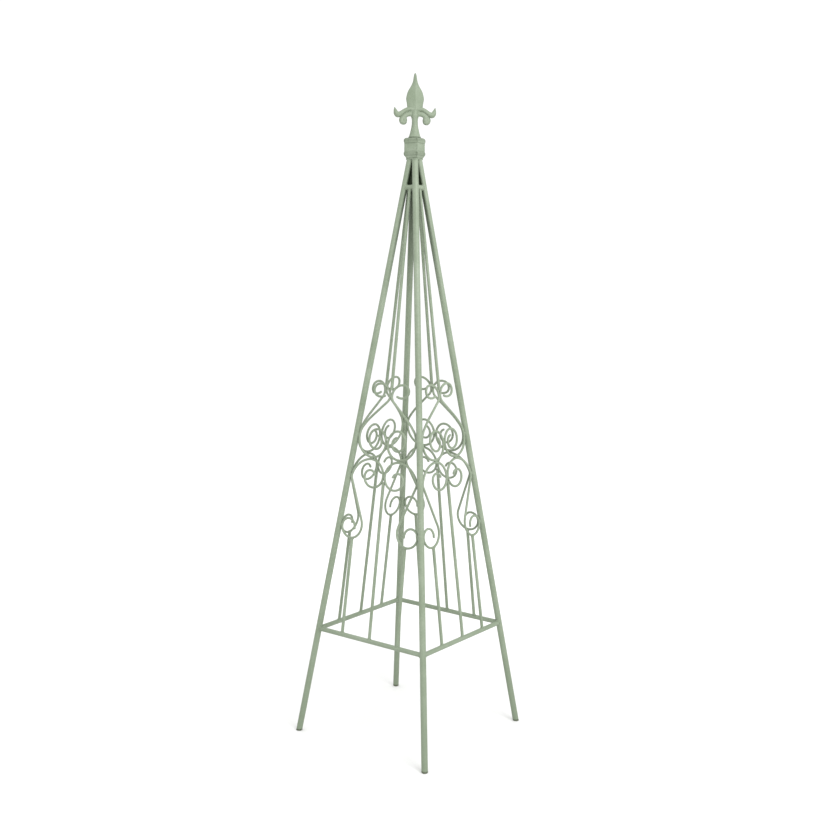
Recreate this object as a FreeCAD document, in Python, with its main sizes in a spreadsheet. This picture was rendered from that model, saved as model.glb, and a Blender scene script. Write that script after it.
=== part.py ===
import FreeCAD, Part
import math
import os
import Sketcher
from FreeCAD import Placement, Rotation, Vector

# Garden obelisk: a four-sided steel plant support, 1.7 m tall.
#
# Four tube legs lean inwards from a square footprint to a small plate. A cast collar and a
# cast fleur-de-lis stand on that plate, held by one stud. Each of the four faces between the
# legs is the same welded panel: a base rail, three upright rods, two pairs of wire scrolls,
# one long rod and a short brace just under the top. The scrolls on both sides of the back left
# leg sit a little higher than the others.
#
# Frame: millimetres, +Z up, origin on the ground at the middle of the footprint. The front
# face looks along -Y, the right face along +X.

DIMENSIONS = [
    # name, value, what it is
    ("total_height", 1700, "ground to the tip of the finial"),
    ("base_half", 207.2, "leg axis to the middle plane, at the ground"),
    ("top_half", 8.2, "leg axis to the middle plane, at the leg tops"),
    ("leg_top", 1487, "height of the leg tops"),
    ("leg_diameter", 16, "leg tube"),
    ("leg_wall", 1.5, "leg tube wall"),
    ("plug_head", 5, "foot plug below the tube"),
    ("plug_depth", 15, "foot plug inside the tube"),
    ("rail_height", 276, "base rail axis above the ground"),
    ("rail_diameter", 12, "base rail"),
    ("brace_height", 1418, "top brace axis above the ground"),
    ("brace_diameter", 12, "top brace"),
    ("rod_diameter", 8, "upright rods"),
    ("wire_diameter", 6, "scroll wire"),
    ("long_rod_foot", 917, "long rod's lower end, up the face"),
    ("middle_rod_top", 684, "middle rod's upper end, up the face"),
    ("side_rod_top", 531.5, "side rod's upper end, up the face"),
    ("side_rod_top_offset", 86, "side rod's upper end from the face's middle line"),
    ("side_rod_foot_offset", 90, "side rod's foot from the face's middle line"),
    ("scroll_meeting", 740.5, "where lower and upper scroll touch, up the face"),
    ("corner_lift", 6, "scrolls next to the back left leg sit this much higher"),
    ("raised_side_rod_top", 548, "side rod's upper end under those scrolls, up the face"),
    ("core_foot", 24, "core's underside, across flats"),
    ("core_head", 9, "core's upper end, across flats"),
    ("plate_side", 31, "top plate, across flats"),
    ("plate_thickness", 3, "top plate"),
    ("collar_top", 1540.5, "height of the collar's upper face"),
    ("collar_turn", 5.5, "collar turned on its stud, degrees"),
    ("collar_foot", 31.2, "collar's underside, across flats"),
    ("collar_taper", 9, "height of the taper under the lower lip"),
    ("collar_lip", 41, "collar's two lips, across flats"),
    ("collar_side", 38.2, "collar's plain panels, across flats"),
    ("lower_lip_height", 7, "lower lip"),
    ("upper_lip_height", 11, "upper lip"),
    ("lip_chamfer", 1.2, "chamfer of each lip next to the panels"),
    ("rim_chamfer", 2.5, "chamfer round the collar's upper face"),
    ("stud_diameter", 10, "finial stud"),
    ("stud_clearance", 0.5, "stud hole in the collar, on the diameter"),
    ("stud_reach", 16, "stud above the collar"),
    ("finial_turn", 45, "finial faces the front right corner, degrees"),
    ("arm_thickness", 13, "upper arms, front to back"),
    ("hook_thickness", 10, "hooks under the arms, front to back"),
    ("petal_tip", 0.6, "half width and half thickness of the petal's blunt tip"),
]

# Bending schedules of the scroll wires, from one free end to the other. A bend is
# (radius, degrees): a positive radius turns left, a negative one right. (0, length) is
# a straight run. "start" is the first free end on the right half of a face, measured from
# the face's middle line and up the face from the ground, and "heading" is the way it sets off.
# The lower wires next to the back left leg have their own, with a shorter straight run.
SCROLLS = {
    "upper": {
        "start": (17.5, 903),
        "heading": -30,
        "bends": [(31, 55), (15.5, 137), (32, 93), (21, 64), (0, 56.5),
                  (-215, 11), (-47.5, 145), (-37.5, 120), (-25.5, 207), (-17.5, 185)],
    },
    "lower": {
        "start": (28, 697),
        "heading": 74,
        "bends": [(-17.5, 164), (-24.5, 58), (-31.5, 137), (-42.5, 83), (-66.5, 62),
                  (-17, 43), (0, 111), (36.5, 75), (32, 106), (21, 217)],
    },
    "lower_raised": {
        "start": (28, 697),
        "heading": 74,
        "bends": [(-17.5, 164), (-24.5, 58), (-31.5, 137), (-42.5, 83), (-66.5, 62),
                  (-17, 46.5), (0, 99), (36.5, 78.5), (32, 106), (21, 217)],
    },
}
SCROLL_PAIR = ["upper", "lower"]

FACES = ["front", "right", "back", "left"]
SIDES = {"right": 1, "left": -1}
RAISED_HALVES = [("back", "right"), ("left", "left")]
CORNERS = {"front_left": (-1, -1), "front_right": (1, -1), "back_right": (1, 1), "back_left": (-1, 1)}

# Edges closer than this to a height or to an outline lie on it.
ON_IT = 0.01

doc = FreeCAD.newDocument("garden_obelisk")
sheet = doc.addObject("Spreadsheet::Sheet", "dims")
parts = []


def fill_sheet():
    """Writes every driving dimension to the sheet, one alias each. Returns the aliases."""
    rows = [(name, value) for name, value, _ in DIMENSIONS]
    for scroll, schedule in SCROLLS.items():
        rows.append((scroll + "_start_across", schedule["start"][0]))
        rows.append((scroll + "_start_up", schedule["start"][1]))
        rows.append((scroll + "_heading", schedule["heading"]))
        for number, (radius, amount) in enumerate(schedule["bends"], start=1):
            if radius:
                rows.append(("%s_radius_%d" % (scroll, number), abs(radius)))
                rows.append(("%s_sweep_%d" % (scroll, number), amount))
            else:
                rows.append(("%s_run_%d" % (scroll, number), amount))
    for line, (name, value) in enumerate(rows, start=1):
        sheet.set("A%d" % line, name)
        sheet.set("B%d" % line, str(value))
        sheet.setAlias("B%d" % line, name)
    doc.recompute()
    return [name for name, _ in rows]


def size(name):
    return float(getattr(sheet, name))


def bind(thing, **expressions):
    """Binds properties to the sheet: bind(box, Length="plate_side")."""
    for prop, expression in expressions.items():
        for alias in ALIASES:
            expression = replace_word(expression, alias, "dims." + alias)
        thing.setExpression(prop, expression)


def replace_word(text, word, new):
    """Replaces whole words only, so that leg_top isn't found in leg_top_half."""
    pieces = []
    token = ""
    for letter in text + " ":
        if letter.isalnum() or letter == "_":
            token += letter
            continue
        pieces.append(new if token == word else token)
        pieces.append(letter)
        token = ""
    return "".join(pieces).strip()


def keep(thing, node):
    """Marks an object as a sub-part: its Label names its file."""
    thing.Label = node
    parts.append(thing)
    return thing


# ---------------------------------------------------------------- frames

def leg_spread(height):
    """Distance of a leg's axis from the middle planes at a height."""
    share = height / size("leg_top")
    return size("base_half") + (size("top_half") - size("base_half")) * share


def lean():
    """Slope of each face: how far it moves inwards per millimetre of height."""
    return (size("base_half") - size("top_half")) / size("leg_top")


def face_placement(face):
    """Local X runs along the face, local Y up its slope from the ground, local Z outwards."""
    angle = math.degrees(math.atan(lean()))
    tilted = Placement(Vector(0, -size("base_half"), 0), Rotation(Vector(1, 0, 0), 90 - angle))
    turned = Placement(Vector(0, 0, 0), Rotation(Vector(0, 0, 1), 90 * FACES.index(face)))
    return turned.multiply(tilted)


def half_placement(face, side):
    """The face's frame, turned over about its middle line for the left half."""
    flip = 0 if SIDES[side] > 0 else 180
    return face_placement(face).multiply(Placement(Vector(0, 0, 0), Rotation(Vector(0, 1, 0), flip)))


def up_the_face(height):
    return height * math.hypot(1, lean())


def lift(face, side):
    """How much higher this half's scrolls sit."""
    return size("corner_lift") if (face, side) in RAISED_HALVES else 0.0


def middle_lift(face):
    """How much higher the rod ends on the face's middle line sit, between its two halves."""
    return sum(lift(face, side) for side in SIDES) / len(SIDES)


def schedule_name(scroll, face, side):
    """The bending schedule this wire is made to."""
    raised = (face, side) in RAISED_HALVES
    return "lower_raised" if raised and scroll == "lower" else scroll


# ---------------------------------------------------------------- small builders

def round_bar(name, start, end, diameter, spare=0.0):
    """A Part::Cylinder from one point to another, with spare length at both ends."""
    bar = doc.addObject("Part::Cylinder", name)
    bind(bar, Radius="%s / 2" % diameter)
    bar.Height = (end - start).Length + 2 * spare
    direction = (end - start).normalize()
    bar.Placement = Placement(start - direction * spare, Rotation(Vector(0, 0, 1), direction))
    return bar


def slab(name, bottom, top):
    """A wide level slab between two heights."""
    reach = 2 * size("base_half")
    box = doc.addObject("Part::Box", name)
    box.Length = 2 * reach
    box.Width = 2 * reach
    box.Height = top - bottom
    box.Placement = Placement(Vector(-reach, -reach, bottom), Rotation())
    return box


def cut(name, base, tools):
    """Part::Cut by one tool, or by a compound of several."""
    tool = tools[0]
    if len(tools) > 1:
        tool = doc.addObject("Part::Compound", name + "_tools")
        tool.Links = tools
    result = doc.addObject("Part::Cut", name)
    result.Base = base
    result.Tool = tool
    return result


def common(name, base, tool):
    result = doc.addObject("Part::Common", name)
    result.Base = base
    result.Tool = tool
    return result


def origin_plane(body, role):
    return next(item for item in body.Origin.OriginFeatures if item.Role == role)


def new_sketch(body, name, role, height=0.0):
    """A sketch on one of the body's own origin planes, moved along its normal by height."""
    sketch = body.newObject("Sketcher::SketchObject", name)
    sketch.AttachmentSupport = [(origin_plane(body, role), "")]
    sketch.MapMode = "FlatFace"
    sketch.AttachmentOffset = Placement(Vector(0, 0, height), Rotation())
    return sketch


def centred_square(sketch, alias):
    """A closed square about the sketch's origin, its side bound to the sheet."""
    half = size(alias) / 2
    corners = [Vector(x * half, y * half, 0) for x, y in ((-1, -1), (1, -1), (1, 1), (-1, 1))]
    for index in range(4):
        sketch.addGeometry(Part.LineSegment(corners[index], corners[(index + 1) % 4]), False)
    for index in range(4):
        sketch.addConstraint(Sketcher.Constraint("Coincident", index, 2, (index + 1) % 4, 1))
    sketch.addConstraint(Sketcher.Constraint("Horizontal", 0))
    sketch.addConstraint(Sketcher.Constraint("Horizontal", 2))
    sketch.addConstraint(Sketcher.Constraint("Vertical", 1))
    sketch.addConstraint(Sketcher.Constraint("Vertical", 3))
    sketch.addConstraint(Sketcher.Constraint("Symmetric", 0, 1, 2, 1, -1, 1))
    for edge in (0, 1):
        number = sketch.addConstraint(Sketcher.Constraint("Distance", edge, 2 * half))
        sketch.setExpression("Constraints[%d]" % number, "dims." + alias)


def centred_circle(sketch, expression, radius):
    """A circle about the sketch's origin, its radius bound to the sheet."""
    sketch.addGeometry(Part.Circle(Vector(0, 0, 0), Vector(0, 0, 1), radius), False)
    sketch.addConstraint(Sketcher.Constraint("Coincident", 0, 3, -1, 1))
    number = sketch.addConstraint(Sketcher.Constraint("Radius", 0, radius))
    sketch.setExpression("Constraints[%d]" % number, expression)


# ---------------------------------------------------------------- legs and feet

def leg_axis(corner):
    across, along = CORNERS[corner]
    foot = Vector(across * size("base_half"), along * size("base_half"), 0)
    top = Vector(across * size("top_half"), along * size("top_half"), size("leg_top"))
    return foot, top


def build_legs():
    """Tubes with level ends, and a plug in each foot. Returns the legs' outer cylinders."""
    spare = size("leg_diameter")
    envelopes = {}
    for corner in CORNERS:
        foot, top = leg_axis(corner)
        outer = round_bar("leg_outer_" + corner, foot, top, "leg_diameter", spare)
        bore = round_bar("leg_bore_" + corner, foot, top, "(leg_diameter - 2 * leg_wall)", spare)
        tube = cut("leg_tube_" + corner, outer, [bore])
        length = slab("leg_level_" + corner, size("plug_head"), size("leg_top"))
        keep(common("leg_cut_" + corner, tube, length), "leg_" + corner)

        head = common("plug_head_" + corner, outer, slab("plug_low_" + corner, 0, size("plug_head")))
        inside_top = size("plug_head") + size("plug_depth")
        inside = slab("plug_high_" + corner, size("plug_head"), inside_top)
        spigot = common("plug_spigot_" + corner, bore, inside)
        plug = doc.addObject("Part::Fuse", "plug_" + corner)
        plug.Base = head
        plug.Tool = spigot
        keep(plug, "foot_plug_" + corner)
        envelopes[corner] = outer
    return envelopes


def face_corners(face):
    """The leg corners at the left and right end of a face, seen from outside."""
    return {
        "front": ("front_left", "front_right"),
        "right": ("front_right", "back_right"),
        "back": ("back_right", "back_left"),
        "left": ("back_left", "front_left"),
    }[face]


def build_cross_bars(label, height_alias, diameter, envelopes):
    """Level bars from leg to leg, coped to the tubes and to each other. Returns the uncut bars."""
    bars = {}
    height = size(height_alias)
    for face in FACES:
        ends = []
        for corner in face_corners(face):
            across, along = CORNERS[corner]
            ends.append(Vector(across * leg_spread(height), along * leg_spread(height), height))
        bars[face] = round_bar("%s_bar_%s" % (label, face), ends[0], ends[1], diameter)
    for face in FACES:
        tools = [envelopes[corner] for corner in face_corners(face)]
        if face in ("right", "left"):
            tools += [bars["front"], bars["back"]]
        keep(cut("%s_coped_%s" % (label, face), bars[face], tools), "%s_%s" % (label, face))
    return bars


# ---------------------------------------------------------------- scrolls

def bend_edges(bends):
    """Tangent arcs and runs, from the origin along +X. Gives (geometry, first end, last end)."""
    point = Vector(0, 0, 0)
    heading = 0.0
    edges = []
    for radius, amount in bends:
        forward = Vector(math.cos(heading), math.sin(heading), 0)
        if not radius:
            end = point + forward * amount
            edges.append((Part.LineSegment(point, end), 1, 2))
            point = end
            continue
        turn = math.radians(amount)
        left = Vector(-forward.y, forward.x, 0)
        centre = point + left * radius
        circle = Part.Circle(centre, Vector(0, 0, 1), abs(radius))
        from_centre = math.atan2(point.y - centre.y, point.x - centre.x)
        if radius > 0:
            edges.append((Part.ArcOfCircle(circle, from_centre, from_centre + turn), 1, 2))
            heading += turn
            last = from_centre + turn
        else:
            edges.append((Part.ArcOfCircle(circle, from_centre - turn, from_centre), 2, 1))
            heading -= turn
            last = from_centre - turn
        point = centre + Vector(math.cos(last), math.sin(last), 0) * abs(radius)
    return edges


def path_sketch(body, name, schedule):
    """The wire's centre line in the body's XY plane, every bend bound to the sheet."""
    sketch = new_sketch(body, name, "XY_Plane")
    bends = SCROLLS[schedule]["bends"]
    edges = bend_edges(bends)
    for geometry, _, _ in edges:
        sketch.addGeometry(geometry, False)
    sketch.addConstraint(Sketcher.Constraint("Coincident", 0, edges[0][1], -1, 1))
    centre_on_axis = Sketcher.Constraint("PointOnObject", 0, 3, -2)
    sketch.addConstraint(centre_on_axis)
    for index in range(len(edges) - 1):
        joint = Sketcher.Constraint("Tangent", index, edges[index][2], index + 1, edges[index + 1][1])
        sketch.addConstraint(joint)
    for index, (radius, amount) in enumerate(bends):
        label = (schedule, index + 1)
        if radius:
            number = sketch.addConstraint(Sketcher.Constraint("Radius", index, abs(radius)))
            sketch.setExpression("Constraints[%d]" % number, "dims.%s_radius_%d" % label)
            number = sketch.addConstraint(Sketcher.Constraint("Angle", index, math.radians(amount)))
            sketch.setExpression("Constraints[%d]" % number, "dims.%s_sweep_%d * 1 deg" % label)
        else:
            number = sketch.addConstraint(Sketcher.Constraint("Distance", index, amount))
            sketch.setExpression("Constraints[%d]" % number, "dims.%s_run_%d" % label)
    return sketch


def scroll_wire(scroll, face, side):
    """One bent wire, whole, before its weld flats are cut."""
    body = doc.addObject("PartDesign::Body", "wire_%s_%s_%s" % (scroll, face, side))
    schedule = schedule_name(scroll, face, side)
    path = path_sketch(body, body.Name + "_path", schedule)
    section = new_sketch(body, body.Name + "_section", "YZ_Plane")
    centred_circle(section, "dims.wire_diameter / 2", size("wire_diameter") / 2)
    doc.recompute()
    pipe = body.newObject("PartDesign::AdditivePipe", body.Name + "_pipe")
    pipe.Profile = section
    pipe.Spine = path
    start = Vector(size(schedule + "_start_across"), size(schedule + "_start_up") + lift(face, side), 0)
    first_end = Placement(start, Rotation(Vector(0, 0, 1), size(schedule + "_heading")))
    body.Placement = half_placement(face, side).multiply(first_end)
    return body


def face_block(name, face, side, low, high):
    """A block on the face's plane, from one corner to the other in the half's own frame."""
    box = doc.addObject("Part::Box", name)
    depth = 2 * size("wire_diameter")
    box.Length = high[0] - low[0]
    box.Width = high[1] - low[1]
    box.Height = depth
    box.Placement = half_placement(face, side).multiply(
        Placement(Vector(low[0], low[1], -depth / 2), Rotation()))
    return box


def build_scrolls(envelopes):
    """Two scrolls on each half of each face. Returns the uncut wires."""
    wires = {}
    reach = size("base_half")
    for face in FACES:
        ends = face_corners(face)
        for side in SIDES:
            meeting = size("scroll_meeting") + lift(face, side)
            beyond = {"upper": (meeting - reach, meeting), "lower": (meeting, meeting + reach)}
            leg = envelopes[ends[1] if side == "right" else ends[0]]
            for scroll in SCROLL_PAIR:
                wire = scroll_wire(scroll, face, side)
                label = "%s_%s_%s" % (scroll, face, side)
                twin = face_block("twin_" + label, face, side, (-reach, 0), (0, 2 * meeting))
                low, high = beyond[scroll]
                mate = face_block("mate_" + label, face, side, (0, low), (reach, high))
                welded = cut("welded_" + label, wire, [leg, twin, mate])
                keep(welded, "%s_scroll_%s_%s" % (scroll, face, side))
                wires[scroll, face, side] = wire
    return wires


# ---------------------------------------------------------------- rods

def face_point(face, across, up):
    return face_placement(face).multVec(Vector(across, up, 0))


def build_rods(rails, braces, wires):
    """Upright rods in the plane of each face, their ends coped to what they are welded to."""
    rail_up = up_the_face(size("rail_height"))
    brace_up = up_the_face(size("brace_height"))
    for face in FACES:
        pair = {scroll: [wires[scroll, face, side] for side in SIDES] for scroll in SCROLL_PAIR}

        long_foot = face_point(face, 0, size("long_rod_foot") + middle_lift(face))
        long_rod = round_bar("long_bar_" + face, long_foot, face_point(face, 0, brace_up), "rod_diameter")
        coped = cut("long_coped_" + face, long_rod, [braces[face]] + pair["upper"])
        keep(coped, "long_rod_" + face)

        middle_top = face_point(face, 0, size("middle_rod_top") + middle_lift(face))
        middle = round_bar("middle_bar_" + face, face_point(face, 0, rail_up), middle_top, "rod_diameter")
        coped = cut("middle_coped_" + face, middle, [rails[face]] + pair["lower"])
        keep(coped, "middle_rod_" + face)

        for side, sign in SIDES.items():
            foot = face_point(face, sign * size("side_rod_foot_offset"), rail_up)
            raised = (face, side) in RAISED_HALVES
            side_top = size("raised_side_rod_top" if raised else "side_rod_top")
            top = face_point(face, sign * size("side_rod_top_offset"), side_top)
            label = "%s_%s" % (face, side)
            bar = round_bar("side_bar_" + label, foot, top, "rod_diameter")
            coped = cut("side_coped_" + label, bar, [rails[face], wires["lower", face, side]])
            keep(coped, "side_rod_" + label)


# ---------------------------------------------------------------- core, top plate, stud and collar

def build_core(envelopes):
    """Tapered square core between the leg tops, from the brace up to the plate, coped to the legs."""
    bottom = size("brace_height") + size("brace_diameter") / 2
    body = doc.addObject("PartDesign::Body", "core_taper")
    foot = new_sketch(body, "core_foot_outline", "XY_Plane", bottom)
    centred_square(foot, "core_foot")
    head = new_sketch(body, "core_head_outline", "XY_Plane", size("leg_top"))
    centred_square(head, "core_head")
    doc.recompute()
    loft = body.newObject("PartDesign::AdditiveLoft", "core_loft")
    loft.Profile = foot
    loft.Sections = [head]
    loft.Ruled = True
    doc.recompute()
    keep(cut("core_coped", body, list(envelopes.values())), "top_core")


def build_plate():
    """Square plate welded on the four leg tops, tapped for the stud."""
    body = doc.addObject("PartDesign::Body", "plate")
    outline = new_sketch(body, "plate_outline", "XY_Plane")
    centred_square(outline, "plate_side")
    pad = body.newObject("PartDesign::Pad", "plate_pad")
    pad.Profile = outline
    bind(pad, Length="plate_thickness")
    hole = new_sketch(body, "plate_hole", "XY_Plane")
    centred_circle(hole, "dims.stud_diameter / 2", size("stud_diameter") / 2)
    pocket = body.newObject("PartDesign::Pocket", "plate_tapping")
    pocket.Profile = hole
    pocket.Type = "ThroughAll"
    pocket.Reversed = True
    body.Placement = Placement(Vector(0, 0, size("leg_top")), Rotation())
    keep(body, "top_plate")


def build_stud():
    """Stud screwed into the plate, through the collar and into the finial."""
    stud = doc.addObject("Part::Cylinder", "stud_bar")
    bind(stud, Radius="stud_diameter / 2", Height="collar_top + stud_reach - leg_top")
    stud.Placement = Placement(Vector(0, 0, size("leg_top")), Rotation())
    keep(stud, "finial_stud")


def collar_layer(body, name, bottom, alias, height_expression):
    """One square storey of the collar."""
    outline = new_sketch(body, name + "_outline", "XY_Plane", bottom)
    centred_square(outline, alias)
    pad = body.newObject("PartDesign::Pad", name)
    pad.Profile = outline
    bind(pad, Length=height_expression)
    return pad


def square_edges(feature, heights, side):
    """Names of the level edges of a square storey at the given heights."""
    names = []
    for number, edge in enumerate(feature.Shape.Edges, start=1):
        box = edge.BoundBox
        level = box.ZLength < ON_IT
        at_height = min(abs(box.ZMin - height) for height in heights) < ON_IT
        outside = max(abs(box.XMin), abs(box.XMax), abs(box.YMin), abs(box.YMax)) > side / 2 - ON_IT
        if level and at_height and outside:
            names.append("Edge%d" % number)
    return names


def build_collar():
    """Cast collar: taper, lower lip, plain panels and upper lip, bored for the stud."""
    body = doc.addObject("PartDesign::Body", "collar_casting")
    taper = size("collar_taper")
    foot = new_sketch(body, "collar_foot_outline", "XY_Plane")
    centred_square(foot, "collar_foot")
    shoulder = new_sketch(body, "collar_shoulder_outline", "XY_Plane", taper)
    centred_square(shoulder, "collar_lip")
    doc.recompute()
    loft = body.newObject("PartDesign::AdditiveLoft", "collar_taper_loft")
    loft.Profile = foot
    loft.Sections = [shoulder]
    loft.Ruled = True

    bottom = size("leg_top") + size("plate_thickness")
    height = size("collar_top") - bottom
    panel_foot = taper + size("lower_lip_height")
    panel_head = height - size("upper_lip_height")
    collar_layer(body, "collar_lower_lip", taper, "collar_lip", "lower_lip_height")
    collar_layer(body, "collar_panels", panel_foot, "collar_side",
                 "collar_top - leg_top - plate_thickness - collar_taper - lower_lip_height"
                 " - upper_lip_height")
    upper = collar_layer(body, "collar_upper_lip", panel_head, "collar_lip", "upper_lip_height")
    doc.recompute()
    lips = body.newObject("PartDesign::Chamfer", "collar_lip_chamfers")
    lips.Base = (upper, square_edges(upper, [panel_foot, panel_head], size("collar_lip")))
    bind(lips, Size="lip_chamfer")
    doc.recompute()
    rim = body.newObject("PartDesign::Chamfer", "collar_rim_chamfer")
    rim.Base = (lips, square_edges(lips, [height], size("collar_lip")))
    bind(rim, Size="rim_chamfer")
    bore = new_sketch(body, "collar_bore_outline", "XY_Plane")
    centred_circle(bore, "(dims.stud_diameter + dims.stud_clearance) / 2",
                   (size("stud_diameter") + size("stud_clearance")) / 2)
    pocket = body.newObject("PartDesign::Pocket", "collar_bore")
    pocket.Profile = bore
    pocket.Type = "ThroughAll"
    pocket.Reversed = True
    body.Placement = Placement(Vector(0, 0, bottom), Rotation(Vector(0, 0, 1), size("collar_turn")))
    keep(body, "collar")


# ---------------------------------------------------------------- finial

# Half outlines of the finial's pieces, on the right of its middle line, as (across, up)
# from its foot. Each is a closed chain of arcs: start, then pairs of (a point on the arc,
# the arc's end). A pair whose first item is None is a straight run.
STEM_OUTLINE = [
    (0, 0), (None, (16, 0)), (None, (16, 2.5)), ((10.4, 18.5), (7.5, 38)), (None, (7.5, 44)),
    ((8, 48), (9.2, 51)), (None, (9.2, 62)), (None, (0, 62)), (None, (0, 0)),
]
ARM_OUTLINE = [
    (0, 79), ((20, 77), (37.6, 68.1)), ((40.6, 66.8), (43, 68.1)), ((47.8, 71.5), (51.3, 75.5)),
    ((53.4, 65.5), (52.3, 55.9)), ((50, 51.5), (46.4, 48.5)), ((43, 48), (40, 49.6)),
    ((33.4, 56.6), (25.6, 61)), ((13, 65.5), (0, 64.5)), (None, (0, 79)),
]
HOOK_OUTLINE = [
    (0, 69), ((22, 66), (38, 56)), ((41, 50), (40.5, 44)), ((39.3, 38.3), (35.7, 33.8)),
    ((29, 32.1), (23, 34)), ((19.3, 38.5), (20.2, 45)), ((19.6, 50), (15, 52)),
    (None, (0, 52)), (None, (0, 69)),
]
# The middle petal's half width and half thickness at heights above the foot, up to its tip.
PETAL_STATIONS = [
    (60, 13, 6), (76, 19.4, 7.7), (86, 20.9, 8.1), (95, 22.5, 8.5), (104, 21.2, 8.2),
    (115, 17.6, 7.2), (127, 10.6, 5.4), (138, 5.9, 4.1), (150, 4.1, 3.4),
]


def outline_edges(outline, sign):
    """Turns a half outline into arcs and runs, mirrored when sign is -1."""
    def point(pair):
        return Vector(sign * pair[0], pair[1], 0)

    edges = []
    here = outline[0]
    for middle, there in outline[1:]:
        if middle is None:
            edges.append(Part.LineSegment(point(here), point(there)))
        else:
            edges.append(Part.Arc(point(here), point(middle), point(there)))
        here = there
    return edges


def arm_pad(body, name, outline, thickness):
    """One arm on each side: a pad, the same both ways from the finial's middle plane."""
    for side, sign in SIDES.items():
        sketch = new_sketch(body, "%s_outline_%s" % (name, side), "XZ_Plane")
        for geometry in outline_edges(outline, sign):
            sketch.addGeometry(geometry, False)
        pad = body.newObject("PartDesign::Pad", "%s_%s" % (name, side))
        pad.Profile = sketch
        pad.SideType = "Symmetric"
        bind(pad, Length=thickness)
        doc.recompute()


def build_stem(body):
    """Turned stem with a flared foot."""
    outline = new_sketch(body, "stem_outline", "XZ_Plane")
    for geometry in outline_edges(STEM_OUTLINE, 1):
        outline.addGeometry(geometry, False)
    doc.recompute()
    stem = body.newObject("PartDesign::Revolution", "stem")
    stem.Profile = outline
    stem.ReferenceAxis = (outline, ["V_Axis"])
    stem.Angle = 360
    doc.recompute()


def build_petal(body):
    """Middle petal: four-sided sections with a ridge in front and behind."""
    tip = size("petal_tip")
    stations = PETAL_STATIONS + [(size("total_height") - size("collar_top"), tip, tip)]
    sections = []
    for number, (height, width, ridge) in enumerate(stations, start=1):
        section = new_sketch(body, "petal_section_%d" % number, "XY_Plane", height)
        corners = [Vector(width, 0, 0), Vector(0, ridge, 0), Vector(-width, 0, 0), Vector(0, -ridge, 0)]
        for index in range(4):
            line = Part.LineSegment(corners[index], corners[(index + 1) % 4])
            section.addGeometry(line, False)
        sections.append(section)
    doc.recompute()
    petal = body.newObject("PartDesign::AdditiveLoft", "petal")
    petal.Profile = sections[0]
    petal.Sections = sections[1:]
    petal.Ruled = True
    doc.recompute()


def build_finial():
    """Cast fleur-de-lis: turned stem, hooks, arms and a ridged middle petal."""
    body = doc.addObject("PartDesign::Body", "finial_casting")
    build_stem(body)
    arm_pad(body, "hook", HOOK_OUTLINE, "hook_thickness")
    arm_pad(body, "arm", ARM_OUTLINE, "arm_thickness")
    build_petal(body)
    socket = new_sketch(body, "socket_outline", "XY_Plane")
    centred_circle(socket, "dims.stud_diameter / 2", size("stud_diameter") / 2)
    pocket = body.newObject("PartDesign::Pocket", "stud_socket")
    pocket.Profile = socket
    pocket.Reversed = True
    bind(pocket, Length="stud_reach")
    place = Vector(0, 0, size("collar_top"))
    body.Placement = Placement(place, Rotation(Vector(0, 0, 1), size("finial_turn")))
    keep(body, "finial")


# ---------------------------------------------------------------- the whole

def check_document():
    """Stops with a plain message if any object failed or any sub-part isn't sound."""
    for thing in doc.Objects:
        if "Invalid" in thing.State or "Error" in thing.State:
            raise RuntimeError("%s failed: %s" % (thing.Name, thing.State))
    for thing in parts:
        if thing.Shape.isNull() or not thing.Shape.isValid():
            raise RuntimeError("%s has no sound shape" % thing.Label)
        if len(thing.Shape.Solids) != 1:
            raise RuntimeError("%s has %d solids" % (thing.Label, len(thing.Shape.Solids)))


def export_parts():
    os.makedirs("parts", exist_ok=True)
    for thing in parts:
        thing.Shape.exportStep("parts/%s.step" % thing.Label)


ALIASES = fill_sheet()

leg_envelopes = build_legs()
rail_bars = build_cross_bars("base_rail", "rail_height", "rail_diameter", leg_envelopes)
brace_bars = build_cross_bars("top_brace", "brace_height", "brace_diameter", leg_envelopes)
scroll_wires = build_scrolls(leg_envelopes)
build_rods(rail_bars, brace_bars, scroll_wires)
build_core(leg_envelopes)
build_plate()
build_stud()
build_collar()
build_finial()
doc.recompute()
check_document()
export_parts()
print("%d sub-parts written" % len(parts))
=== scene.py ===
import math

import bmesh
import bpy
from mathutils import Matrix, Vector, noise


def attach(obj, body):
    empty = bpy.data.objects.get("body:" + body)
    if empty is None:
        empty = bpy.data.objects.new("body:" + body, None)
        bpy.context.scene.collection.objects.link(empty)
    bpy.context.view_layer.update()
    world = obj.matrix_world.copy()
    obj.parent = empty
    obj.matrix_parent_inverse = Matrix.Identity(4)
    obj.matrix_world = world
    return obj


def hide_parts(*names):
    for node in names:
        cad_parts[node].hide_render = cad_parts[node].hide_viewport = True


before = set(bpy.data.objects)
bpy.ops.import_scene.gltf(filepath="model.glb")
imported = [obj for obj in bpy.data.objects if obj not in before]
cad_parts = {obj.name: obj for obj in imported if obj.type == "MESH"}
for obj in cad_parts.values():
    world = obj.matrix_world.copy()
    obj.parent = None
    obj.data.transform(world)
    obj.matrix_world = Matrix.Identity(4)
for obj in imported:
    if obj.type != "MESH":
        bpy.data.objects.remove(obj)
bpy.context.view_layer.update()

# Garden obelisk in painted steel. Lengths below are millimetres unless a name says otherwise,
# and MM turns them into the scene's metres. The tubes, bars and rods are the CAD's own; the
# wire scrolls, castings, foot plugs and weld beads are made here.

MM = 0.001

# ---------------------------------------------------------------- driving dimensions

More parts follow.
